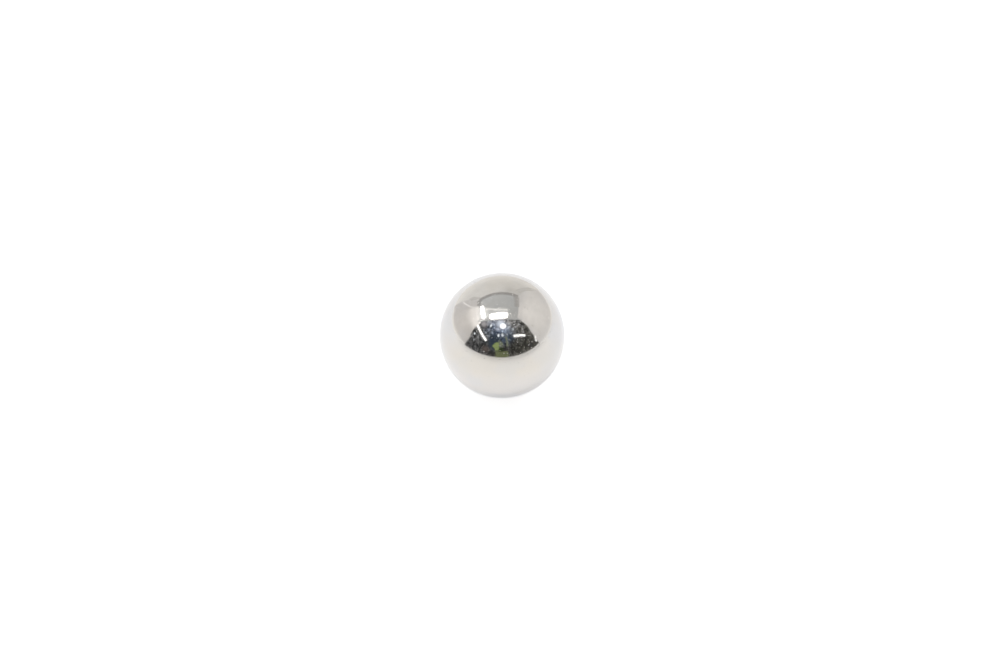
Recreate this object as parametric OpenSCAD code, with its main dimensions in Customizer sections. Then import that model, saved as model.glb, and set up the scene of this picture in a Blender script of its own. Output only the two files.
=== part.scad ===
// Loose steel ball, such as a bearing or ball-caster ball.
// Millimetres, +Z up, with the origin at the centre of the ball.

/* [Ball] */
// Diameter of the ball
ball_d = 12.7; // [3:0.1:50]

/* [Hidden] */

// Facets round the drawn ball
ball_fn = 192;

// One solid, ground and lapped to a true sphere: no flat, seam, bore or band.
module ball() {
    color([0.66, 0.64, 0.61])
        sphere(d = ball_d, $fn = ball_fn);
}

ball();
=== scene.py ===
# %% [markdown]
# A steel ball in a light tent
#
# This lesson dresses one loose steel ball. The real thing starts as a slug of wire that is headed
# into a rough ball, hardened, ground between plates and lapped until it is a mirror. It has no
# seam, flat or edge to draw the eye. All that the eye gets is the finish and what the mirror shows,
# so the lesson has three parts: a surface smooth enough to be a mirror, a finish with the faint
# marks of lapping and handling, and a set worth mirroring.

# %% Load the ball
from math import cos, pi, radians, sin, tan

import bpy
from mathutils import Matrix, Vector


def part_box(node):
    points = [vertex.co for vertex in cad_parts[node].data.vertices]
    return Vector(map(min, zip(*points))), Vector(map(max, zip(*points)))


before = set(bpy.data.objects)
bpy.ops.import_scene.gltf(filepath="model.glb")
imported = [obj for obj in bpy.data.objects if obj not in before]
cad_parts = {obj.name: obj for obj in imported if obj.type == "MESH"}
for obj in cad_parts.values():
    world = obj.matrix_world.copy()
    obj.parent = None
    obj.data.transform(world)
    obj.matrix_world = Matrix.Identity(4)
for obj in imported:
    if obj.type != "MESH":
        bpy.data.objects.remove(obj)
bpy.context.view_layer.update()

MM = 0.001
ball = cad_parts["ball"]
ball_low, ball_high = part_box("ball")
ball_radius = (ball_high.z - ball_low.z) / 2
ball_centre = (ball_low + ball_high) / 2
print(f"ball: {2 * ball_radius / MM:.2f} mm across")

# %% [markdown]
# Rounding off the facets
#
# The ball arrives as a few thousand small flat triangles. On a dull surface nobody would notice, but
# a mirror shows every facet as a kink in what it reflects. A new sphere could be put in its place,
# yet the one that came is right in size and place. Three modifiers finish it instead: Weld closes
# the seam where the triangles meet, a simple Subdivision splits them, and Cast pushes every new
# point out to the true radius.

# %% Weld, split and cast
def round_off(piece, radius, levels=1):
    """Splits a faceted ball and lays every point on the true sphere about its origin."""
    weld = piece.modifiers.new("close_seam", "WELD")
    weld.merge_threshold = 0.001 * MM
    split = piece.modifiers.new("split_facets", "SUBSURF")
    split.subdivision_type = "SIMPLE"
    split.levels = levels
    split.render_levels = levels
    cast = piece.modifiers.new("cast_to_sphere", "CAST")
    cast.cast_type = "SPHERE"
    cast.use_radius_as_size = False
    cast.size = radius
    cast.factor = 1.0


round_off(ball, ball_radius)
print("modifiers:", [step.name for step in ball.modifiers])

# %% [markdown]
# Normals straight from the centre
#
# Shading works out which way a surface faces by averaging the triangles round each point. Uneven
# triangles give an average that is a little off, and a mirror doubles the error. On a sphere the
# right answer is known: the surface faces straight away from the centre. A small geometry node tree
# writes just that, so the reflections bend as smoothly as on the real ball.

# %% Face every point outwards
def outward_normals():
    """A node tree that gives each corner of the mesh the direction from the centre as its normal."""
    tree = bpy.data.node_groups.new("outward_normals", "GeometryNodeTree")
    tree.interface.new_socket("Geometry", in_out="INPUT", socket_type="NodeSocketGeometry")
    tree.interface.new_socket("Geometry", in_out="OUTPUT", socket_type="NodeSocketGeometry")
    start = tree.nodes.new("NodeGroupInput")
    end = tree.nodes.new("NodeGroupOutput")
    position = tree.nodes.new("GeometryNodeInputPosition")
    direction = tree.nodes.new("ShaderNodeVectorMath")
    direction.operation = "NORMALIZE"
    smooth = tree.nodes.new("GeometryNodeSetShadeSmooth")
    facing = tree.nodes.new("GeometryNodeSetMeshNormal")
    facing.mode = "FREE"
    tree.links.new(start.outputs["Geometry"], smooth.inputs["Geometry"])
    tree.links.new(smooth.outputs["Geometry"], facing.inputs["Mesh"])
    tree.links.new(position.outputs["Position"], direction.inputs[0])
    tree.links.new(direction.outputs["Vector"], facing.inputs["Custom Normal"])
    tree.links.new(facing.outputs["Mesh"], end.inputs["Geometry"])
    return tree


facing_step = ball.modifiers.new("face_outwards", "NODES")
facing_step.node_group = outward_normals()

# %% Measure the finished ball
evaluated = ball.evaluated_get(bpy.context.evaluated_depsgraph_get())
finished_mesh = evaluated.to_mesh()
reach = [point.co.length / MM for point in finished_mesh.vertices]
print(f"finished mesh: {len(finished_mesh.polygons)} faces")
print(f"radius: {min(reach):.4f} to {max(reach):.4f} mm")
evaluated.to_mesh_clear()

# %% [markdown]
# Small helpers for node trees
#
# The finish and the set are built from a few nodes used over and over: arithmetic, a soft step
# between two values, a blend of two colours, and a split into axes. They could be placed by hand each
# time, but a short helper for each lets the finish itself read like a recipe.

# %% Node helpers
def link_or_set(tree, value, socket):
    """Feeds a socket from another socket, or gives it a plain value."""
    if isinstance(value, bpy.types.NodeSocket):
        tree.links.new(value, socket)
    else:
        socket.default_value = value


def arithmetic(tree, operation, first, second=0.0):
    """One Math node. first and second are sockets or plain numbers."""
    node = tree.nodes.new("ShaderNodeMath")
    node.operation = operation
    link_or_set(tree, first, node.inputs[0])
    link_or_set(tree, second, node.inputs[1])
    return node.outputs[0]


def soft_step(tree, value, start, end, low=0.0, high=1.0):
    """Goes smoothly from low to high as value goes from start to end."""
    node = tree.nodes.new("ShaderNodeMapRange")
    node.interpolation_type = "SMOOTHSTEP"
    for name, setting in zip(("From Min", "From Max", "To Min", "To Max"), (start, end, low, high)):
        link_or_set(tree, setting, node.inputs[name])
    tree.links.new(value, node.inputs["Value"])
    return node.outputs["Result"]


def blend_colour(tree, share, first, second, how="MIX"):
    """A colour part of the way from first to second, or from first to their product with MULTIPLY."""
    node = tree.nodes.new("ShaderNodeMix")
    node.data_type = "RGBA"
    node.blend_type = how
    for value, socket in ((share, node.inputs[0]), (first, node.inputs[6]), (second, node.inputs[7])):
        link_or_set(tree, value, socket)
    return node.outputs[2]


def split_axes(tree, places):
    """The X, Y and Z of some coordinates, as sockets."""
    node = tree.nodes.new("ShaderNodeSeparateXYZ")
    tree.links.new(places, node.inputs["Vector"])
    return node.outputs


print("node helpers:", link_or_set.__name__, arithmetic.__name__, soft_step.__name__,
      blend_colour.__name__, split_axes.__name__)

# %% [markdown]
# Patterns for the finish
#
# The marks on a ball are a haze that comes and goes, and small spots. Noise gives the first, and a
# scatter of points that each carry a small dome gives the second. Marks could be painted on an image
# instead, but an image has to be wrapped, and no wrap fits a ball without a pinch at the poles. These
# patterns fill space, so the ball simply cuts through them. Sizes are thought of in millimetres, so
# the coordinates are scaled to millimetres once, at the start.

# %% Haze and dots
def coordinates_mm(tree):
    """Places on the ball in millimetres from its centre."""
    place = tree.nodes.new("ShaderNodeTexCoord")
    scaled = tree.nodes.new("ShaderNodeVectorMath")
    scaled.operation = "SCALE"
    scaled.inputs["Scale"].default_value = 1 / MM
    tree.links.new(place.outputs["Object"], scaled.inputs[0])
    return scaled.outputs["Vector"]


def cloud(tree, places, size, detail=2.0):
    """Soft noise from 0 to 1, with patches about size across, in the units of places."""
    node = tree.nodes.new("ShaderNodeTexNoise")
    node.inputs["Scale"].default_value = 1 / size
    node.inputs["Detail"].default_value = detail
    tree.links.new(places, node.inputs["Vector"])
    return node.outputs["Fac"]


def dots(tree, places, spacing, reach, share=1.0):
    """Domes from 1 down to 0 on a share of points scattered about spacing apart.

    reach is how far the widest dome goes. The others go half as far or more.
    """
    scatter = tree.nodes.new("ShaderNodeTexVoronoi")
    scatter.inputs["Scale"].default_value = 1 / spacing
    tree.links.new(places, scatter.inputs["Vector"])
    luck = tree.nodes.new("ShaderNodeSeparateColor")
    tree.links.new(scatter.outputs["Color"], luck.inputs["Color"])
    kept = arithmetic(tree, "LESS_THAN", luck.outputs["Red"], share)
    widest = reach / spacing
    width = soft_step(tree, luck.outputs["Green"], 0.0, 1.0, low=0.5 * widest, high=widest)
    across = arithmetic(tree, "DIVIDE", scatter.outputs["Distance"], width)
    dome = soft_step(tree, across, 0.2, 1.0, low=1.0, high=0.0)
    return arithmetic(tree, "MULTIPLY", dome, kept)


print("patterns:", cloud.__name__, dots.__name__)

# %% [markdown]
# Scratches
#
# A ball that has been rolled about and handled carries hair-fine scratches, short and straight, in
# all directions. Drawing each would be slow work. But a scratch is only a dot stretched a lot one
# way, so the same scatter of dots does it: turn the coordinates, squeeze them along one axis, and
# round dots come out as needles that taper at both ends.

# %% Scratches from stretched dots
NEEDLE_REACH = 0.3
SCRATCH_LENGTH_MM = 1.8
SCRATCH_WIDTH_MM = 0.024
SCRATCH_SHARE = 0.03
SCRATCH_TURNS = ((0, 0, 15), (40, 25, 100), (80, 60, 160), (20, 75, 50))


def scratches_one_way(tree, places, turn_degrees):
    """1 along the middle of fine needles that all run one way, and 0 elsewhere."""
    turned = tree.nodes.new("ShaderNodeMapping")
    turned.inputs["Rotation"].default_value = [radians(angle) for angle in turn_degrees]
    along = 2 * NEEDLE_REACH / SCRATCH_LENGTH_MM
    across = 2 * NEEDLE_REACH / SCRATCH_WIDTH_MM
    turned.inputs["Scale"].default_value = (along, across, across)
    tree.links.new(places, turned.inputs["Vector"])
    return dots(tree, turned.outputs["Vector"], 1.0, NEEDLE_REACH, SCRATCH_SHARE)


def scratches(tree, places):
    """Needles in several directions, laid over each other."""
    scored = 0.0
    for turn in SCRATCH_TURNS:
        scored = arithmetic(tree, "MAXIMUM", scratches_one_way(tree, places, turn), scored)
    return scored


print(f"scratches: {len(SCRATCH_TURNS)} directions, {SCRATCH_LENGTH_MM} by {SCRATCH_WIDTH_MM} mm")

# %% [markdown]
# The lapped steel finish
#
# Polished steel is a metal all over, so Metallic is plainly 1 and the colour is what the metal
# throws back: a light grey, a little warm. The detail is in the rest. Lapping leaves a haze that
# varies by the millimetre. Pits hardly wider than a hair stay where the stone tore a grain out,
# flecks show where the lapping never quite reached, and scratches come from handling. All of them
# throw light off to the side, so they sparkle over a dark reflection and nearly vanish over a bright
# one.

# %% Pits and flecks
def lapping_pits(tree, places):
    """Round pits about a tenth of a millimetre wide."""
    return dots(tree, places, spacing=0.36, reach=0.070, share=0.6)


def lapping_flecks(tree, places):
    """Flecks of two sizes that gather in patches."""
    fine = dots(tree, places, spacing=0.17, reach=0.055, share=0.25)
    coarse = dots(tree, places, spacing=0.26, reach=0.080, share=0.22)
    patchy = soft_step(tree, cloud(tree, places, 0.8, detail=3.0), 0.40, 0.60, low=0.10, high=1.0)
    return arithmetic(tree, "MULTIPLY", arithmetic(tree, "MAXIMUM", fine, coarse), patchy)


print("marks of lapping:", lapping_pits.__name__, lapping_flecks.__name__)

# %% Build the finish
STEEL_WARM = (0.668, 0.642, 0.606, 1.0)
STEEL_COOL = (0.655, 0.638, 0.616, 1.0)
PIT_GREY = (0.56, 0.54, 0.51, 1.0)
HAZE_LEAST = 0.06
HAZE_MOST = 0.11
MARK_DULLNESS = 0.28
MARK_DEPTH = 0.010 * MM


def lapped_steel():
    """Mirror-bright steel with a faint haze, pits, flecks and scratches."""
    finish = bpy.data.materials.new("lapped_steel")
    finish.use_nodes = True
    tree = finish.node_tree
    steel = tree.nodes["Principled BSDF"]
    places = coordinates_mm(tree)
    pits = lapping_pits(tree, places)
    flecks = lapping_flecks(tree, places)
    scored = scratches(tree, places)

    tone = soft_step(tree, cloud(tree, places, 3.5), 0.4, 0.6)
    clean = blend_colour(tree, tone, STEEL_WARM, STEEL_COOL)
    tree.links.new(blend_colour(tree, pits, clean, PIT_GREY), steel.inputs["Base Color"])
    steel.inputs["Metallic"].default_value = 1.0

    haze = soft_step(tree, cloud(tree, places, 1.4, detail=3.0), 0.35, 0.7, HAZE_LEAST, HAZE_MOST)
    dull = arithmetic(tree, "MAXIMUM", arithmetic(tree, "MULTIPLY", pits, 0.5), flecks)
    dull = arithmetic(tree, "MAXIMUM", dull, arithmetic(tree, "MULTIPLY", scored, 0.6))
    rough = arithmetic(tree, "ADD", haze, arithmetic(tree, "MULTIPLY", dull, MARK_DULLNESS))
    tree.links.new(rough, steel.inputs["Roughness"])

    depth = arithmetic(tree, "ADD", pits, arithmetic(tree, "MULTIPLY", flecks, 0.45))
    depth = arithmetic(tree, "ADD", depth, arithmetic(tree, "MULTIPLY", scored, 0.16))
    dents = tree.nodes.new("ShaderNodeBump")
    dents.inputs["Strength"].default_value = 1.0
    dents.inputs["Distance"].default_value = MARK_DEPTH
    dents.invert = True
    tree.links.new(depth, dents.inputs["Height"])
    tree.links.new(dents.outputs["Normal"], steel.inputs["Normal"])
    return finish


ball.material_slots[0].material = lapped_steel()
print("finish:", ball.material_slots[0].material.name)

# %% [markdown]
# The set: a white light tent
#
# What a mirror ball looks like is decided by what stands round it. Small bright goods are usually
# set down inside a white cloth tent that glows from lamps above it. Its front is open, and through
# the opening the ball sees the dim room. The tent could be lit by real lamps through real cloth, but
# that takes a long render to come out smooth. Sheets that give off the light themselves give the
# same reflection at once. Places in the tent are measured from the centre of the ball, and the tent
# is soft, so its corners are a little off square.

# %% Corners of the tent
floor_z = ball_low.z
ROOF = 0.75
low_corners = {"back left": (-0.565, 0.540), "back right": (0.285, 0.555),
               "front left": (-0.600, -0.210), "front right": (0.385, -0.145)}
high_corners = {"back left": (-0.545, 0.440), "back right": (0.360, 0.470),
                "front left": (-0.628, -0.205), "front right": (0.392, -0.190)}


def corner_at(name, height):
    """A corner of the tent at some height, on the straight pole from its foot to its top."""
    foot = Vector((*low_corners[name], floor_z))
    top = Vector((*high_corners[name], ROOF))
    return foot.lerp(top, (height - floor_z) / (ROOF - floor_z))


tent_wide = low_corners["front right"][0] - low_corners["front left"][0]
tent_deep = low_corners["back right"][1] - low_corners["front right"][1]
print(f"tent: {tent_wide:.2f} m wide, {tent_deep:.2f} m deep, {ROOF - floor_z:.2f} m high")

# %% [markdown]
# Sheets of cloth
#
# Each side of the tent is one flat sheet. The ball mirrors it, but the camera stands inside the tent
# and has to look through it, so the sheets are hidden from the camera alone.

# %% Cut a sheet
def set_sheet(name, points, faces, material, across=None):
    """A sheet of the set. The ball mirrors it, and the camera looks through it.

    across says, for each point, how far it is from one edge of the sheet (0) to the other (1).
    """
    mesh = bpy.data.meshes.new(name)
    mesh.from_pydata([Vector(point) for point in points], [], faces)
    mesh.materials.append(material)
    if across is not None:
        layer = mesh.uv_layers.new(name="across")
        for loop, corner in zip(mesh.loops, layer.data):
            corner.uv = (0.5, across[loop.vertex_index])
    sheet = bpy.data.objects.new(name, mesh)
    sheet.visible_camera = False
    bpy.context.scene.collection.objects.link(sheet)
    print("hung:", name)
    return sheet


def flat_sheet(name, points, material):
    """One flat sheet with the points as its outline."""
    return set_sheet(name, points, [range(len(points))], material)


print("sheets:", set_sheet.__name__, flat_sheet.__name__)

# %% [markdown]
# Glowing cloth
#
# Tent cloth with lamps behind it isn't equally bright all over: it is brightest next to a lamp and
# dims away from it, with faint waves where it hangs loose. One flat strength would look like paper.
# So the cloth takes a list of slopes, each along one axis, and a soft noise for the waves.

# %% Dye the cloth
def new_material(name):
    """An empty node material, its tree and its output."""
    material = bpy.data.materials.new(name)
    material.use_nodes = True
    material.node_tree.nodes.clear()
    return material, material.node_tree, material.node_tree.nodes.new("ShaderNodeOutputMaterial")


def set_places(tree):
    """Places in the set, in metres from the centre of the ball."""
    return tree.nodes.new("ShaderNodeTexCoord").outputs["Object"]


def tent_cloth(name, colour, strength, slopes=(), glow=None):
    """Cloth that glows. Each slope is an axis, where it starts and ends, and the factors there.

    glow, if given, is a function that adds or takes away light from the places on the cloth.
    """
    material, tree, output = new_material(name)
    places = set_places(tree)
    axes = split_axes(tree, places)
    waves = cloud(tree, places, 0.09)
    brightness = soft_step(tree, waves, 0.3, 0.7, low=0.97 * strength, high=1.03 * strength)
    for axis, start, end, low, high in slopes:
        slope = soft_step(tree, axes[axis], start, end, low=low, high=high)
        brightness = arithmetic(tree, "MULTIPLY", brightness, slope)
    if glow is not None:
        brightness = arithmetic(tree, "ADD", brightness, glow(tree, axes))
    light = tree.nodes.new("ShaderNodeEmission")
    light.inputs["Color"].default_value = (*colour, 1.0)
    tree.links.new(brightness, light.inputs["Strength"])
    tree.links.new(light.outputs["Emission"], output.inputs["Surface"])
    print(f"dyed: {name}, strength {strength}")
    return material


print("cloth:", tent_cloth.__name__)

# %% [markdown]
# The back
#
# The back cloth is pulled outwards by the frame between its poles, so its top edge bows. A flat
# sheet would give a straight edge, so the back is cut in strips that follow a sine. It is brightest
# at its foot, where the floor throws light up at it, and dimmest in its upper right corner, which is
# the furthest from the lamps.

# %% Hang the back
BACK_STRIPS = 8
BACK_BOW = 0.036


def back_edge(height):
    """Points along the back cloth at some height, bowed outwards in the middle."""
    left = corner_at("back left", height)
    right = corner_at("back right", height)
    bow = BACK_BOW * (height - floor_z) / (ROOF - floor_z)
    shares = [step / BACK_STRIPS for step in range(BACK_STRIPS + 1)]
    return [left.lerp(right, share) + Vector((0, bow * sin(pi * share), 0)) for share in shares]


back_foot = back_edge(floor_z)
back_top = back_edge(ROOF)
next_row = len(back_foot)
back_faces = [(k, k + 1, k + 1 + next_row, k + next_row) for k in range(BACK_STRIPS)]


def dim_corner(tree, axes):
    """Light that is missing in the upper right corner of the back."""
    missing = soft_step(tree, axes["X"], 0.0, 0.12, low=0.0, high=-0.11)
    return arithmetic(tree, "MULTIPLY", missing, soft_step(tree, axes["Z"], 0.30, 0.56))


cloth_back = tent_cloth("cloth_back", (1.0, 0.985, 0.955), 0.90, glow=dim_corner,
                        slopes=(("Z", 0.0, 0.30, 1.13, 0.98), ("X", -0.45, 0.25, 1.05, 0.95)))
set_sheet("tent_back", back_foot + back_top, back_faces, cloth_back)

# %% [markdown]
# The roof
#
# The roof ends at the bowed top edge of the back. The lamps hang just under it, so it is bright
# beside the side lamp and just behind the one over the opening. Real lamps would do that by
# themselves. Here each bright patch is a soft step along X times one along Y.

# %% Hang the roof
def between_lamps(tree, axes):
    """Light that the lamps throw on the roof between them and just behind the one over the opening."""
    aside = soft_step(tree, axes["X"], -0.36, -0.22, low=0.30, high=0.0)
    aside = arithmetic(tree, "MULTIPLY", aside, soft_step(tree, axes["Y"], 0.02, 0.12, 1.0, 0.0))
    above = soft_step(tree, axes["X"], 0.10, 0.20, low=0.13, high=0.0)
    above = arithmetic(tree, "MULTIPLY", above, soft_step(tree, axes["Y"], -0.06, -0.01, 1.0, 0.0))
    return arithmetic(tree, "MAXIMUM", aside, above)


cloth_roof = tent_cloth("cloth_roof", (0.965, 0.99, 1.0), 0.655, glow=between_lamps,
                        slopes=(("Y", -0.05, 0.30, 0.95, 1.0), ("X", -0.40, 0.0, 1.07, 1.0),
                                ("X", 0.0, 0.34, 1.0, 0.93)))
roof_front = [corner_at("front right", ROOF), corner_at("front left", ROOF)]
flat_sheet("tent_roof", back_top + roof_front, cloth_roof)

# %% [markdown]
# The sides
#
# The front edge of each side hangs free, so it waves. It could be a spline, but a few points are
# enough for an edge that is seen so small. The left side carries the light of the lamp above it:
# bright at the top, fading down in two steps, and cut off where a fold in the cloth shades it. The
# right side is further from that lamp, and gets a little from the one over the opening.

# %% Cut a side from its free edge
def side_cloth(name, back_name, front_name, free_edge, material):
    """A side from its free front edge, given as (y, height) pairs, to the back corner."""
    outline = [(corner_at(front_name, height).x, y, height) for y, height in free_edge]
    back_corner = [corner_at(back_name, ROOF), corner_at(back_name, floor_z)]
    return flat_sheet(name, outline + back_corner, material)


print("sides:", side_cloth.__name__)

# %% Hang the left side
def lamp_on_cloth(tree, axes):
    """Light of the side lamp on the left cloth: it climbs in two steps and stops at the fold."""
    low = soft_step(tree, axes["Z"], 0.29, 0.54, low=0.0, high=0.33)
    high = soft_step(tree, axes["Z"], 0.60, 0.74, low=0.0, high=0.36)
    climb = arithmetic(tree, "ADD", low, high)
    by_the_opening = soft_step(tree, axes["Y"], -0.16, 0.02, low=1.45, high=1.0)
    up_to_the_fold = soft_step(tree, axes["Y"], 0.19, 0.25, low=1.0, high=0.0)
    climb = arithmetic(tree, "MULTIPLY", climb, by_the_opening)
    return arithmetic(tree, "MULTIPLY", climb, up_to_the_fold)


LEFT_EDGE = ((-0.225, floor_z), (-0.280, 0.17), (-0.262, 0.32), (-0.256, 0.46), (-0.296, 0.60),
             (-0.310, ROOF))
cloth_left = tent_cloth("cloth_left", (1.0, 0.975, 0.96), 0.84, glow=lamp_on_cloth,
                        slopes=(("Y", -0.20, 0.0, 0.89, 1.0), ("Y", 0.05, 0.35, 1.0, 0.94)))
side_cloth("tent_left", "back left", "front left", LEFT_EDGE, cloth_left)

# %% Hang the right side
RIGHT_EDGE = ((-0.139, floor_z), (-0.164, 0.09), (-0.175, 0.15), (-0.183, 0.23), (-0.172, 0.32),
              (-0.180, 0.41), (-0.200, 0.60), (-0.195, ROOF))


def near_opening_lamp(tree, axes):
    """Light of the lamp over the opening, high on the right cloth."""
    beside = soft_step(tree, axes["Y"], 0.04, 0.16, low=0.05, high=0.0)
    return arithmetic(tree, "MULTIPLY", beside, soft_step(tree, axes["Z"], 0.24, 0.36))


cloth_right = tent_cloth("cloth_right", (1.0, 0.985, 0.975), 0.96, glow=near_opening_lamp,
                         slopes=(("Y", -0.15, 0.05, 0.92, 1.0), ("Y", 0.10, 0.45, 1.0, 0.895),
                                 ("Z", 0.0, 0.25, 0.92, 1.0), ("Z", 0.38, 0.66, 1.0, 0.915)))
side_cloth("tent_right", "back right", "front right", RIGHT_EDGE, cloth_right)

# %% [markdown]
# The brow
#
# The cloth over the opening hangs between the two front poles, so its lower edge sags in the middle
# like a washing line. A parabola gives that edge, and one flat sheet fills up to the roof.

# %% A sagging strip over the opening
BROW_LOW = 0.475
BROW_SAG_AT = -0.10
BROW_RISE = 0.45
BROW_AHEAD = -0.19
BROW_STEPS = 12


def brow_edge(x):
    """Height of the brow's lower edge at x."""
    return min(BROW_LOW + BROW_RISE * (x - BROW_SAG_AT) ** 2, ROOF)


brow_left = corner_at("front left", ROOF).x
brow_right = corner_at("front right", ROOF).x
brow_x = [brow_left + (brow_right - brow_left) * step / BROW_STEPS for step in range(BROW_STEPS + 1)]
lower_edge = [(x, BROW_AHEAD, brow_edge(x)) for x in brow_x]
upper_edge = [(brow_right, BROW_AHEAD, ROOF + MM), (brow_left, BROW_AHEAD, ROOF + MM)]
cloth_brow = tent_cloth("cloth_brow", (0.97, 0.99, 1.0), 0.62, slopes=(("X", -0.42, -0.15, 1.25, 1.0),))
flat_sheet("tent_brow", lower_edge + upper_edge, cloth_brow)
print(f"brow hangs from {ROOF:.2f} m down to {BROW_LOW:.2f} m")

# %% [markdown]
# The front of the floor cloth
#
# At the opening the floor cloth ends, and its front right corner is turned up. A bent sheet would do
# it, but from the ball only the upper edge of the turned-up part shows, so a low upright strip with
# that edge is enough.

# %% Turn up the front right corner
HEM_AHEAD = -0.29
HEM_LEFT = 0.10
HEM_RIGHT = 0.75
HEM_TOP = ((HEM_RIGHT, 0.040), (0.62, 0.028), (0.46, 0.015), (0.30, 0.008), (HEM_LEFT, 0.0))
hem_foot = [(HEM_LEFT, HEM_AHEAD, floor_z), (HEM_RIGHT, HEM_AHEAD, floor_z)]
hem_top = [(x, HEM_AHEAD, height) for x, height in HEM_TOP]
flat_sheet("front_hem", hem_foot + hem_top, tent_cloth("cloth_hem", (1.0, 0.985, 0.97), 0.92))

# %% [markdown]
# Shapes with soft edges
#
# Seams, folds, lamps and all that stands in the room are small shapes laid in front of the cloth.
# Their edges are never quite crisp: light bleeds past them, and a mirror that isn't perfect smears
# them a little. Blurring the picture afterwards would blur the ball as well. So each shape carries
# how far across it a point lies, and its glow fades to clear towards its edges.

# %% A soft glow
def soft_shape(name, colour, strength, softness=0.3):
    """A glow that fades to clear at the edges of its shape. softness 1 fades from the middle on."""
    material, tree, output = new_material(name)
    place = tree.nodes.new("ShaderNodeUVMap").outputs["UV"]
    across = split_axes(tree, place)["Y"]
    from_middle = arithmetic(tree, "ABSOLUTE", arithmetic(tree, "SUBTRACT", across, 0.5))
    solid = soft_step(tree, from_middle, 0.5 * (1 - softness), 0.5, low=1.0, high=0.0)
    light = tree.nodes.new("ShaderNodeEmission")
    light.inputs["Color"].default_value = (*colour, 1.0)
    light.inputs["Strength"].default_value = strength
    clear = tree.nodes.new("ShaderNodeBsdfTransparent")
    mixed = tree.nodes.new("ShaderNodeMixShader")
    tree.links.new(solid, mixed.inputs["Fac"])
    tree.links.new(clear.outputs["BSDF"], mixed.inputs[1])
    tree.links.new(light.outputs["Emission"], mixed.inputs[2])
    tree.links.new(mixed.outputs["Shader"], output.inputs["Surface"])
    return material


print("soft shapes:", soft_shape.__name__)

# %% A soft ribbon
def ribbon(name, points, width_degrees, material, pointed=False):
    """A ribbon that follows the points and faces the ball.

    It looks equally wide to the ball all along, or widens from a point if pointed.
    """
    points = [Vector(point) for point in points]
    last = len(points) - 1
    edges = []
    for index, point in enumerate(points):
        ahead = points[min(index + 1, last)] - points[max(index - 1, 0)]
        width = 0.0 if pointed and index == 0 else width_degrees
        aside = ahead.cross(point).normalized() * point.length * tan(radians(width / 2))
        edges += [point - aside, point + aside]
    faces = [(2 * k, 2 * k + 2, 2 * k + 3, 2 * k + 1) for k in range(last)]
    return set_sheet(name, edges, faces, material, across=[0.0, 1.0] * len(points))


def in_front(points, share=0.93):
    """The same points, drawn a little towards the ball."""
    return [Vector(point) * share for point in points]


print("ribbons:", ribbon.__name__, in_front.__name__)

# %% [markdown]
# The curled edges of the floor cloth
#
# The floor cloth is a little larger than the tent, so along both sides it curls up against the cloth
# that hangs there, and the floor fades into the sides. A soft ribbon along the foot of each side
# does that: its lower half is under the floor, and its upper half fades out.

# %% Curl up the floor along the sides
CURL_DEGREES = 11.0
floor_curl = soft_shape("floor_curl", (1.0, 0.985, 0.965), 1.15, softness=1.0)
left_foot = [(-0.600, -0.225, floor_z), (-0.567, 0.500, floor_z)]
right_foot = [(0.385, -0.139, floor_z), (0.287, 0.540, floor_z)]
ribbon("curl_left", in_front(left_foot, 0.97), CURL_DEGREES, floor_curl)
ribbon("curl_right", in_front(right_foot, 0.97), CURL_DEGREES, floor_curl)

# %% [markdown]
# Seams
#
# Where two cloths meet they are folded over and sewn, and the doubled cloth lets less light through.
# Only beside the lamp does a seam catch light and show bright. Each is a ribbon laid a little in
# front of the cloth.

# %% Sew the seams
seam_dark = soft_shape("seam_dark", (1.0, 0.98, 0.96), 0.40, softness=0.7)
seam_wide = soft_shape("seam_wide", (1.0, 0.98, 0.95), 0.49, softness=1.0)
seam_faint = soft_shape("seam_faint", (1.0, 0.98, 0.95), 0.42, softness=1.0)
seam_lit = soft_shape("seam_lit", (1.0, 0.98, 0.96), 1.15, softness=0.5)
seam_right = [corner_at("back right", ROOF) - Vector((0.048, 0, 0)), (0.332, 0.10, ROOF)]
seam_left = [corner_at("back left", ROOF) - Vector((0.012, 0, 0)), (-0.597, 0.24, ROOF)]
seam_by_lamp = [(-0.590, 0.22, ROOF), corner_at("front left", ROOF)]
ribbon("seam_back", in_front(back_top), 7.8, seam_dark)
ribbon("seam_right", in_front(seam_right), 12.0, seam_wide)
ribbon("seam_left", in_front(seam_left), 11.0, seam_faint)
ribbon("seam_by_lamp", in_front(seam_by_lamp), 4.0, seam_lit)

# %% [markdown]
# Folds
#
# A fold in the left side runs up in a slow curve and catches the lamp along its crest. The free edge
# of the right side is folded back, and it catches the light as a short bright line. Next to each pole
# the back is gathered, and there a fold runs up with its hollow in soft shade. All of them could be
# modelled as bent cloth, but only the crest or the hollow ever shows.

# %% Crease the sides
FOLD_LEFT = ((0.51, 0.23), (0.43, 0.30), (0.33, 0.40), (0.26, 0.49), (0.235, 0.60))
fold_left = [(-0.59, y, height) for y, height in FOLD_LEFT]
fold_right = [(0.341, -0.14, 0.111), (0.318, -0.14, 0.078), (0.309, -0.14, 0.048)]
fold_light = soft_shape("fold_light", (1.0, 0.98, 0.965), 1.25, softness=1.0)
fold_white = soft_shape("fold_white", (1.0, 1.0, 1.0), 2.2, softness=0.3)
ribbon("fold_left", in_front(fold_left), 2.6, fold_light)
ribbon("fold_right", fold_right, 2.4, fold_white)

FOLDS_BACK = {"left": ((-0.517, 0.33), (-0.524, 0.47), (-0.520, 0.55), (-0.505, 0.62), (-0.465, 0.67)),
              "right": ((0.290, 0.05), (0.283, 0.20), (0.268, 0.30), (0.262, 0.41), (0.250, 0.51))}
fold_dim = soft_shape("fold_dim", (1.0, 0.985, 0.955), 0.70, softness=1.0)
for side, places in FOLDS_BACK.items():
    ribbon(f"fold_back_{side}", in_front([(x, 0.50, height) for x, height in places]), 9.2, fold_dim,
           pointed=True)

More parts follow.
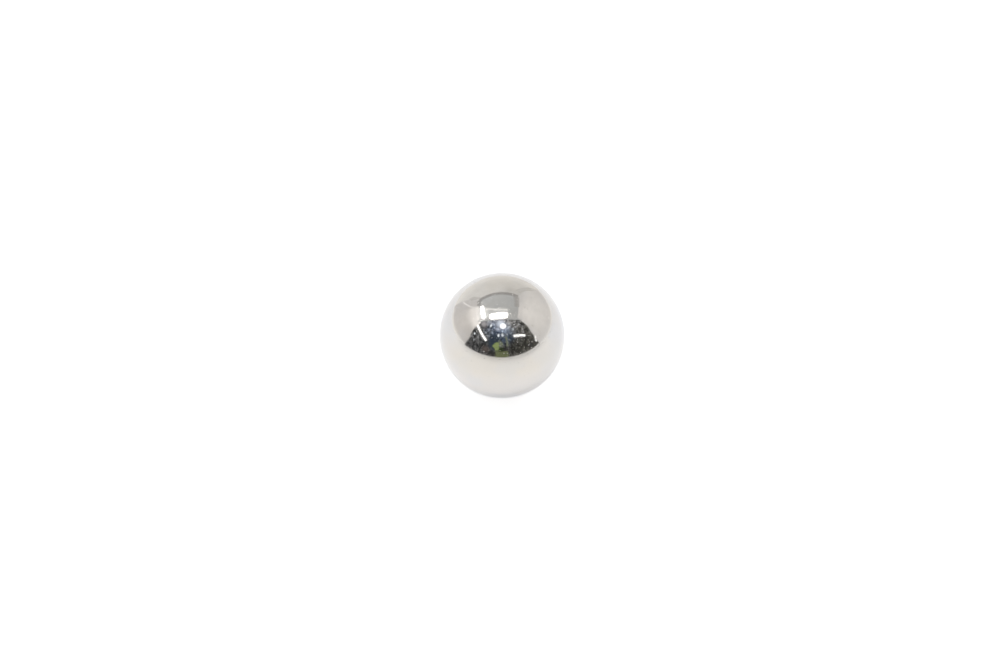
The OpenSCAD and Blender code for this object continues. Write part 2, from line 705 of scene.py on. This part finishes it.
# %% [markdown]
# Lamps
#
# Two flat lamps hang under the roof, one over the opening and one along the left side, with a thin
# bar behind the first. They do most of the lighting, so they are several times brighter than white,
# and the mirror shows them as plain white shapes. Area lamps could do this too, but the corners of
# an oblong one are always sharp, and these are rounded.

# %% A soft blob with rounded corners
def blob(name, outline, material):
    """A shape that is solid in its middle and soft towards its outline."""
    outline = [Vector(point) for point in outline]
    middle = sum(outline, Vector()) / len(outline)
    count = len(outline)
    faces = [(0, 1 + k, 1 + (k + 1) % count) for k in range(count)]
    return set_sheet(name, [middle] + outline, faces, material, across=[0.5] + [0.0] * count)


def rounded(x_range, y_range, height, round_by, turn=0.0):
    """Outline of a level rectangle with its corners rounded. turn is how much y grows with x."""
    (west, east), (near, far) = x_range, y_range
    outline = []
    for x, y, start in ((east, far, 0), (west, far, 90), (west, near, 180), (east, near, 270)):
        middle_x = x - round_by if x == east else x + round_by
        middle_y = y - round_by if y == far else y + round_by
        for angle in (start, start + 30, start + 60, start + 90):
            corner_x = middle_x + round_by * cos(radians(angle))
            corner_y = middle_y + round_by * sin(radians(angle))
            outline.append((corner_x, corner_y + turn * corner_x, height))
    return outline


print("blobs:", blob.__name__, rounded.__name__)

# %% Hang the lamps
LAMP_Z = 0.54
lamp_white = soft_shape("lamp_white", (1.0, 1.0, 1.0), 7.5, softness=0.06)
over_opening = rounded((-0.216, 0.094), (-0.178, -0.079), LAMP_Z, 0.030, turn=0.06)
along_side = rounded((-0.520, -0.420), (-0.275, 0.180), ROOF - 10 * MM, 0.050)
blob("lamp_over", over_opening, lamp_white)
blob("lamp_side", along_side, lamp_white)

BAR = ((-0.297, 0.045), (-0.240, 0.026), (-0.120, -0.010), (-0.039, -0.022), (0.095, -0.019))
bar_white = soft_shape("bar_white", (1.0, 1.0, 1.0), 1.25, softness=0.8)
ribbon("lamp_bar", [(x, y, LAMP_Z) for x, y in BAR], 4.6, bar_white)

# %% [markdown]
# The dim room beyond the opening
#
# Through the open front the ball sees the room. Each thing in it is a flat shape just outside the
# opening, placed by the direction in which the ball sees it: its azimuth, which is 0 straight ahead
# and grows to the right, and its elevation above the floor. Directions are what a mirror shows, so
# they are easier to judge here than distances.

# %% Directions as seen from the ball
ROOM_AHEAD = 0.30


def seen_at(azimuth, elevation, ahead=ROOM_AHEAD):
    """The point, that far ahead of the ball, that it sees at that azimuth and elevation."""
    along = ahead / cos(radians(azimuth))
    return Vector((ahead * tan(radians(azimuth)), -ahead, along * tan(radians(elevation))))


print("half way up, straight ahead:", [round(value, 3) for value in seen_at(0, 45)])

# %% [markdown]
# A jumble of things
#
# The room is full of shelves and goods, far too small in the ball to tell apart. Modelling them would
# be wasted, and plain noise looks like granite. Things in a room are upright and have straight edges,
# so the clutter is a Voronoi pattern with square cells, taller than wide, in three sizes on top of
# each other. The cells are laid out in directions and not in metres, so that they look equally
# small everywhere from the ball.

# %% Boxes of three sizes
BOXES = ((0.11, 0.20), (0.056, 0.40), (0.034, 0.40))


def boxes(tree, sight, width):
    """Upright boxes about width wide, each with its own brightness from 0 to 1."""
    upright = tree.nodes.new("ShaderNodeMapping")
    upright.inputs["Scale"].default_value = (1 / width, 1 / width, 0.6 / width)
    tree.links.new(sight, upright.inputs["Vector"])
    jumble = tree.nodes.new("ShaderNodeTexVoronoi")
    jumble.distance = "CHEBYCHEV"
    jumble.inputs["Scale"].default_value = 1.0
    tree.links.new(upright.outputs["Vector"], jumble.inputs["Vector"])
    luck = tree.nodes.new("ShaderNodeSeparateColor")
    tree.links.new(jumble.outputs["Color"], luck.inputs["Color"])
    return luck.outputs["Red"]


def clutter(tree, sight, height):
    """The boxes together, mostly dark with a few light ones, and plainer near the floor."""
    lumps = 0.0
    for width, share in BOXES:
        layer = arithmetic(tree, "MULTIPLY", boxes(tree, sight, width), share)
        lumps = arithmetic(tree, "ADD", layer, lumps)
    lumps = arithmetic(tree, "POWER", soft_step(tree, lumps, 0.20, 0.80), 2.3)
    contrast = soft_step(tree, height, 0.06, 0.24, low=0.85, high=1.0)
    evenness = soft_step(tree, height, 0.06, 0.24, low=0.04, high=0.0)
    return arithmetic(tree, "ADD", arithmetic(tree, "MULTIPLY", lumps, contrast), evenness)


print("widths of the boxes:", [width for width, share in BOXES])

# %% [markdown]
# Light and air in the room
#
# The clutter is a warm grey, darker on the right and low on the left. Up round the far window it is
# hazy and bluish, the more so on the left, and small bright things glint there. In the middle, beside
# a dark coat, it is a deep blue. Lighting a modelled room to look so would take many lamps. So each
# of these is a pair of colours, one for the dark boxes and one for the light ones, and the pairs are
# blended by how near a place is to the middle of the haze or of the blue.

# %% Near and far
def near_to(tree, places, middle, full_to, none_from):
    """1 close to the middle, and 0 from some distance on."""
    away = tree.nodes.new("ShaderNodeVectorMath")
    away.operation = "DISTANCE"
    away.inputs[1].default_value = middle
    tree.links.new(places, away.inputs[0])
    return soft_step(tree, away.outputs["Value"], full_to, none_from, low=1.0, high=0.0)


def glints(tree, sight, near_haze, height):
    """Small bright dots, fainter outside the haze and near the floor."""
    large = dots(tree, sight, spacing=0.085, reach=0.034, share=0.50)
    small = dots(tree, sight, spacing=0.050, reach=0.022, share=0.50)
    by_haze = soft_step(tree, near_haze, 0.0, 0.5, low=0.35, high=1.0)
    above_floor = soft_step(tree, height, 0.04, 0.32, low=0.25, high=1.0)
    both = arithmetic(tree, "MAXIMUM", large, small)
    return arithmetic(tree, "MULTIPLY", arithmetic(tree, "MULTIPLY", both, by_haze), above_floor)


print("light and air:", near_to.__name__, glints.__name__)

# %% Colours of the room
HAZE_MIDDLE = seen_at(14, 67)
BLUE_MIDDLE = seen_at(4, 42)
BLUE_LIGHT_MIDDLE = seen_at(-10, 49)
GREY_LEFT = ((0.029, 0.029, 0.030, 1.0), (0.355, 0.36, 0.37, 1.0))
GREY_RIGHT = ((0.031, 0.031, 0.026, 1.0), (0.180, 0.175, 0.155, 1.0))
DEEP_BLUE = ((0.016, 0.023, 0.040, 1.0), (0.135, 0.175, 0.235, 1.0))
HAZE_LEFT = ((0.040, 0.052, 0.085, 1.0), (0.78, 0.86, 1.05, 1.0))
HAZE_RIGHT = ((0.056, 0.056, 0.058, 1.0), (0.68, 0.68, 0.68, 1.0))
SHADE_LOW_LEFT = (0.58, 0.58, 0.58, 1.0)
GLINT_WHITE = (1.45, 1.5, 1.6, 1.0)
BLUE_LIGHT_TINT = (0.88, 1.0, 1.18, 1.0)
print("the haze is thickest at:", [round(value, 2) for value in HAZE_MIDDLE])

# %% Colour the boxes
def grey_and_blue(tree, places, axes, lumps, to_the_right):
    """The boxes in the gloom: grey, darker on the right and low on the left, and blue by the coat."""
    left = blend_colour(tree, lumps, *GREY_LEFT)
    right = blend_colour(tree, lumps, *GREY_RIGHT)
    grey = blend_colour(tree, to_the_right, left, right)
    blue = blend_colour(tree, lumps, *DEEP_BLUE)
    near_blue = near_to(tree, places, BLUE_MIDDLE, full_to=0.09, none_from=0.18)
    things = blend_colour(tree, near_blue, grey, blue)
    low_left = soft_step(tree, axes["X"], -0.15, 0.25, low=1.0, high=0.0)
    low_left = arithmetic(tree, "MULTIPLY", low_left, soft_step(tree, axes["Z"], 0.05, 0.24, 1.0, 0.0))
    return blend_colour(tree, low_left, things, SHADE_LOW_LEFT, how="MULTIPLY")


def in_the_haze(tree, lumps, to_the_right):
    """The boxes in the light of the window, bluer on the left."""
    left = blend_colour(tree, lumps, *HAZE_LEFT)
    right = blend_colour(tree, lumps, *HAZE_RIGHT)
    return blend_colour(tree, to_the_right, left, right)


print("colours of the boxes:", grey_and_blue.__name__, in_the_haze.__name__)

# %% Paint the gloom
def room_gloom():
    """Dark clutter with small glints, hazy up round the window and darker on the right."""
    material, tree, output = new_material("room_gloom")
    places = set_places(tree)
    axes = split_axes(tree, places)
    sight = tree.nodes.new("ShaderNodeVectorMath")
    sight.operation = "NORMALIZE"
    tree.links.new(places, sight.inputs[0])
    sight = sight.outputs["Vector"]
    lumps = clutter(tree, sight, axes["Z"])
    to_the_right = soft_step(tree, axes["X"], -0.20, 0.20)
    things = grey_and_blue(tree, places, axes, lumps, to_the_right)
    near_haze = near_to(tree, places, HAZE_MIDDLE, full_to=0.12, none_from=0.62)
    things = blend_colour(tree, near_haze, things, in_the_haze(tree, lumps, to_the_right))
    sparks = glints(tree, sight, near_haze, axes["Z"])
    things = blend_colour(tree, sparks, things, GLINT_WHITE)
    # Painted light: a bluish cast of window light over the room near the window.
    in_blue_light = near_to(tree, places, BLUE_LIGHT_MIDDLE, full_to=0.08, none_from=0.34)
    things = blend_colour(tree, in_blue_light, things, BLUE_LIGHT_TINT, how="MULTIPLY")
    light = tree.nodes.new("ShaderNodeEmission")
    tree.links.new(things, light.inputs["Color"])
    tree.links.new(light.outputs["Emission"], output.inputs["Surface"])
    return material


ROOM_LEFT = -1.10
ROOM_RIGHT = 0.95
ROOM_TOP = 1.20
room_corners = [(ROOM_LEFT, -ROOM_AHEAD, 0.0), (ROOM_RIGHT, -ROOM_AHEAD, 0.0),
                (ROOM_RIGHT, -ROOM_AHEAD, ROOM_TOP), (ROOM_LEFT, -ROOM_AHEAD, ROOM_TOP)]
flat_sheet("room", room_corners, room_gloom())

# %% [markdown]
# Things that stand out
#
# A few things in the room are large or bright enough to be made out: the window and the lights, a
# coat, a crate, a few glints, and a plant on a shelf. Modelled in full, they would look no different
# at this size. So each is a soft shape given by directions, like the points of a star chart. Two
# shapes in the same plane would flicker where they overlap, so each one hangs a millimetre nearer to
# the ball than the one before it.

# %% Hang shapes in the room
layers = []


def next_layer(name):
    """How far ahead the next shape hangs: each is a millimetre nearer than the one before."""
    layers.append(name)
    return ROOM_AHEAD - (len(layers) + 2) * MM


def room_shape(name, directions, material):
    """A shape with an outline of (azimuth, elevation) pairs."""
    ahead = next_layer(name)
    return blob(name, [seen_at(*direction, ahead) for direction in directions], material)


def room_patch(name, azimuths, elevations, material):
    """An oval patch between two azimuths and two elevations."""
    (west, east), (low, high) = azimuths, elevations
    turns = [2 * pi * step / 20 for step in range(20)]
    return room_shape(name, [((west + east) / 2 + (east - west) / 2 * cos(turn),
                              (low + high) / 2 + (high - low) / 2 * sin(turn)) for turn in turns], material)


def room_strip(name, directions, width_degrees, material):
    """A strip through several directions."""
    ahead = next_layer(name)
    return ribbon(name, [seen_at(*direction, ahead) for direction in directions], width_degrees, material)


print("room shapes:", room_shape.__name__, room_patch.__name__, room_strip.__name__)

# %% The window and what it lights
window_haze = soft_shape("window_haze", (0.78, 0.86, 1.0), 1.25, softness=1.0)
window_white = soft_shape("window_white", (0.92, 0.96, 1.0), 2.5, softness=0.45)
glint_white = soft_shape("glint_white", (0.85, 0.92, 1.0), 1.6, softness=0.5)
glint_dim = soft_shape("glint_dim", (0.72, 0.80, 1.0), 0.8, softness=0.8)
room_patch("window_haze", (-30, 22), (46, 70.5), window_haze)
room_patch("window", (-9.2, 15.6), (50.3, 62.7), window_white)
room_patch("glint_left", (-37, -31), (49.5, 57), glint_white)
room_patch("glint_below", (-23, 0), (45.5, 55), glint_dim)
room_patch("glint_above", (-38, -26), (61, 67), glint_dim)

# %% Dull things in front of it, with painted shade, painted light and glints
# The coat's dark navy, also laid over a gap in the clutter as painted shade.
dark_coat_and_shade = soft_shape("dark_coat_and_shade", (0.045, 0.062, 0.092), 1.0, softness=0.5)
brown_crate = soft_shape("brown_crate", (0.150, 0.125, 0.120), 1.0, softness=1.0)
pale_glow = soft_shape("pale_glow", (0.51, 0.50, 0.53), 1.0, softness=0.8)
dark_shade = soft_shape("dark_shade", (0.062, 0.062, 0.060), 1.0, softness=1.0)
room_patch("dark_coat_and_shade", (-30, -3), (8, 45), dark_coat_and_shade)
# Painted shade: a dark patch over a gap in the clutter, in the same dark colour as the coat.
room_patch("shaded_gap", (12, 27), (30, 42), dark_coat_and_shade)
# Painted shade: two soft dark patches that darken the clutter.
room_patch("dark_left", (-34, -24), (40, 49), dark_shade)
room_patch("dark_right", (42, 60), (1, 16), dark_shade)
room_patch("brown_crate", (-40, -19), (1, 21), brown_crate)
room_patch("glint_mid", (-11, -5.5), (36, 43), glint_white)
room_patch("glint_right", (-2.5, 5), (37, 44), glint_white)
# Painted light: a pale glow in the room, just below the near end of the side lamp as the ball sees it.
room_patch("pale_glow", (-66.5, -39), (41.5, 55.5), pale_glow)

# %% Small bright things
SMALL_GLINTS = ((-60, 26.5, 2.0), (-56, 17.5, 1.2), (21, 53.5, 2.4), (30, 47.5, 2.0), (21.5, 41.5, 1.4),
                (11.5, 41.3, 1.6))
for count, (azimuth, elevation, reach) in enumerate(SMALL_GLINTS, start=1):
    room_patch(f"small_glint_{count}", (azimuth - reach, azimuth + reach),
               (elevation - reach, elevation + reach), glint_white)

# %% Two strip lights
strip_white = soft_shape("strip_white", (1.0, 1.0, 1.0), 2.6, softness=0.3)
room_strip("strip_left", ((-67.5, 40.5), (-50.7, 35.2), (-32.1, 25.6)), 4.1, strip_white)
room_strip("strip_right", ((25.8, 36.1), (39, 33.1), (50.2, 28.3)), 4.0, strip_white)

# %% A plant on a shelf
leaf_bright = soft_shape("leaf_bright", (0.33, 0.42, 0.17), 1.0, softness=0.35)
leaf_pale = soft_shape("leaf_pale", (0.24, 0.27, 0.20), 1.0, softness=0.5)
pot_dark = soft_shape("pot_dark", (0.035, 0.050, 0.020), 1.0, softness=0.4)
olive_shelf = soft_shape("olive_shelf", (0.185, 0.21, 0.115), 1.0, softness=0.25)
BACK_LEAF = ((-9, 30.5), (-3, 31.5), (3, 27), (4, 18), (-5, 18), (-8, 24))
SHELF = ((-13.5, 11.5), (0, 11.5), (11, 12.5), (14, 2), (11, -1.1), (-13, -1.1))
LEAF = ((-20, 19), (-16, 25), (-11, 28.5), (-5.5, 28), (-4, 19), (-5, 11.5), (-12, 10), (-14, 15))
room_shape("leaf_behind", BACK_LEAF, leaf_pale)
room_shape("pot", ((-7, 19), (4, 19), (4, 10), (-7, 10)), pot_dark)
room_shape("shelf", SHELF, olive_shelf)
room_strip("stem", ((8.5, 38), (10.5, 30), (10, 20)), 4.5, leaf_pale)
room_shape("leaf", LEAF, leaf_bright)
print(f"shapes in the room: {len(layers)}")

# %% [markdown]
# The floor
#
# The ball rests on the tent's white cloth floor. To the camera the floor is pure white, but the ball
# still needs its small soft shadow, or it would float. A floor that only glows would have no shadow,
# and one that is only lit would be grey. So it is an ordinary white surface, which takes the shadow,
# with a share of white light added for the camera and for mirrors. A mirror sees less of it towards
# the opening, where the tent's light thins out, and a little more close to the ball, where the ball
# itself throws light down.

# %% What a mirror sees on the floor
FLOOR_BY_OPENING = 0.26
FLOOR_IN_TENT = 0.51
FLOOR_BACK_DROP = -0.04
FLOOR_RING = 0.05
FLOOR_WARM = (1.0, 0.985, 0.945, 1.0)
FLOOR_CLOSE_BY = (0.985, 1.0, 1.045, 1.0)
FLOOR_BEHIND = (0.955, 1.0, 1.085, 1.0)


def floor_in_mirror(tree):
    """Strength and colour of the light that the floor adds for mirrors."""
    places = set_places(tree)
    y = split_axes(tree, places)["Y"]
    foot_of_ball = (0.0, 0.0, floor_z)
    strength = soft_step(tree, y, -0.10, 0.0, low=FLOOR_BY_OPENING, high=FLOOR_IN_TENT)
    at_the_back = soft_step(tree, y, 0.005, 0.03, low=0.0, high=FLOOR_BACK_DROP)
    strength = arithmetic(tree, "ADD", strength, at_the_back)
    ring = near_to(tree, places, foot_of_ball, 10 * MM, 20 * MM)
    under_ball = near_to(tree, places, foot_of_ball, 5.5 * MM, 7.5 * MM)
    ring = arithmetic(tree, "SUBTRACT", ring, under_ball)
    strength = arithmetic(tree, "ADD", strength, arithmetic(tree, "MULTIPLY", ring, FLOOR_RING))
    close_by = near_to(tree, places, foot_of_ball, 7 * MM, 16 * MM)
    colour = blend_colour(tree, close_by, FLOOR_WARM, FLOOR_CLOSE_BY)
    behind_ball = soft_step(tree, y, -0.010, 0.010)
    colour = blend_colour(tree, behind_ball, colour, FLOOR_BEHIND)
    return strength, colour


print(f"floor in the mirror: {FLOOR_BY_OPENING} by the opening, {FLOOR_IN_TENT} in the tent")

# %% Lay the floor
CAMERA_LIFT = 0.70
FLOOR_CLOTH = (0.72, 0.712, 0.705, 1.0)
WHITE = (1.0, 1.0, 1.0, 1.0)


def white_floor():
    """White cloth that keeps shadows and is lifted to white where it is looked at."""
    material, tree, output = new_material("white_floor")
    cloth = tree.nodes.new("ShaderNodeBsdfDiffuse")
    cloth.inputs["Color"].default_value = FLOOR_CLOTH
    rays = tree.nodes.new("ShaderNodeLightPath").outputs
    for_mirrors = arithmetic(tree, "MAXIMUM", rays["Is Glossy Ray"], rays["Is Transmission Ray"])
    mirror_strength, mirror_colour = floor_in_mirror(tree)
    for_camera = arithmetic(tree, "MULTIPLY", rays["Is Camera Ray"], CAMERA_LIFT)
    lift = arithmetic(tree, "ADD", for_camera, arithmetic(tree, "MULTIPLY", for_mirrors, mirror_strength))
    light = tree.nodes.new("ShaderNodeEmission")
    tree.links.new(blend_colour(tree, for_mirrors, WHITE, mirror_colour), light.inputs["Color"])
    tree.links.new(lift, light.inputs["Strength"])
    both = tree.nodes.new("ShaderNodeAddShader")
    tree.links.new(cloth.outputs["BSDF"], both.inputs[0])
    tree.links.new(light.outputs["Emission"], both.inputs[1])
    tree.links.new(both.outputs["Shader"], output.inputs["Surface"])
    return material


FLOOR_HALF = 3.0
floor_corners = [(x * FLOOR_HALF, y * FLOOR_HALF, floor_z) for x, y in ((-1, -1), (1, -1), (1, 1), (-1, 1))]
floor = flat_sheet("floor", floor_corners, white_floor())
floor.visible_camera = True
print(f"floor: {2 * FLOOR_HALF:.0f} m square, under the ball at {floor_z / MM:.2f} mm")

# %% [markdown]
# Beyond the floor
#
# Past the edge of the floor there is only the world. A sky or a grey would show as a line at the
# floor's edge, so it is plain white at strength 1, and the camera can't tell it from the floor. The
# tent and the room hide nearly all of it from the ball.

# %% Plain white beyond everything
def white_world():
    """Plain white all round."""
    world = bpy.data.worlds.new("white_world")
    world.use_nodes = True
    sky = world.node_tree.nodes["Background"]
    sky.inputs["Color"].default_value = WHITE
    sky.inputs["Strength"].default_value = 1.0
    return world


bpy.context.scene.world = white_world()
bpy.context.scene.view_settings.view_transform = "Standard"
print("world:", bpy.context.scene.world.name)

# %% [markdown]
# The camera
#
# The camera stands a little over a forearm's length away and looks down at the ball. Its distance
# sets how much the ball's mirror squeezes the room, so it can't be traded for a longer lens. The
# lens is worked out from how wide a field the picture takes in.

# %% Aim the camera
CAMERA_DISTANCE = 0.365
CAMERA_ELEVATION = radians(40)
FIELD_IN_BALLS = 7.94
AIM_RIGHT = -0.016
AIM_UP = 0.015
SENSOR_MM = 36.0

to_camera = Vector((0, -cos(CAMERA_ELEVATION), sin(CAMERA_ELEVATION)))
picture_up = Vector((0, sin(CAMERA_ELEVATION), cos(CAMERA_ELEVATION)))
picture_right = Vector((1, 0, 0))
aim = ball_centre + 2 * ball_radius * (AIM_RIGHT * picture_right + AIM_UP * picture_up)
camera_data = bpy.data.cameras.new("camera")
camera_data.sensor_width = SENSOR_MM
camera_data.lens = SENSOR_MM * CAMERA_DISTANCE / (FIELD_IN_BALLS * 2 * ball_radius)
camera_data.clip_start = 0.01
camera = bpy.data.objects.new("camera", camera_data)
camera.location = aim + CAMERA_DISTANCE * to_camera
camera.rotation_euler = to_camera.to_track_quat("Z", "Y").to_euler()
bpy.context.scene.collection.objects.link(camera)
bpy.context.scene.camera = camera
print(f"lens: {camera_data.lens:.0f} mm")
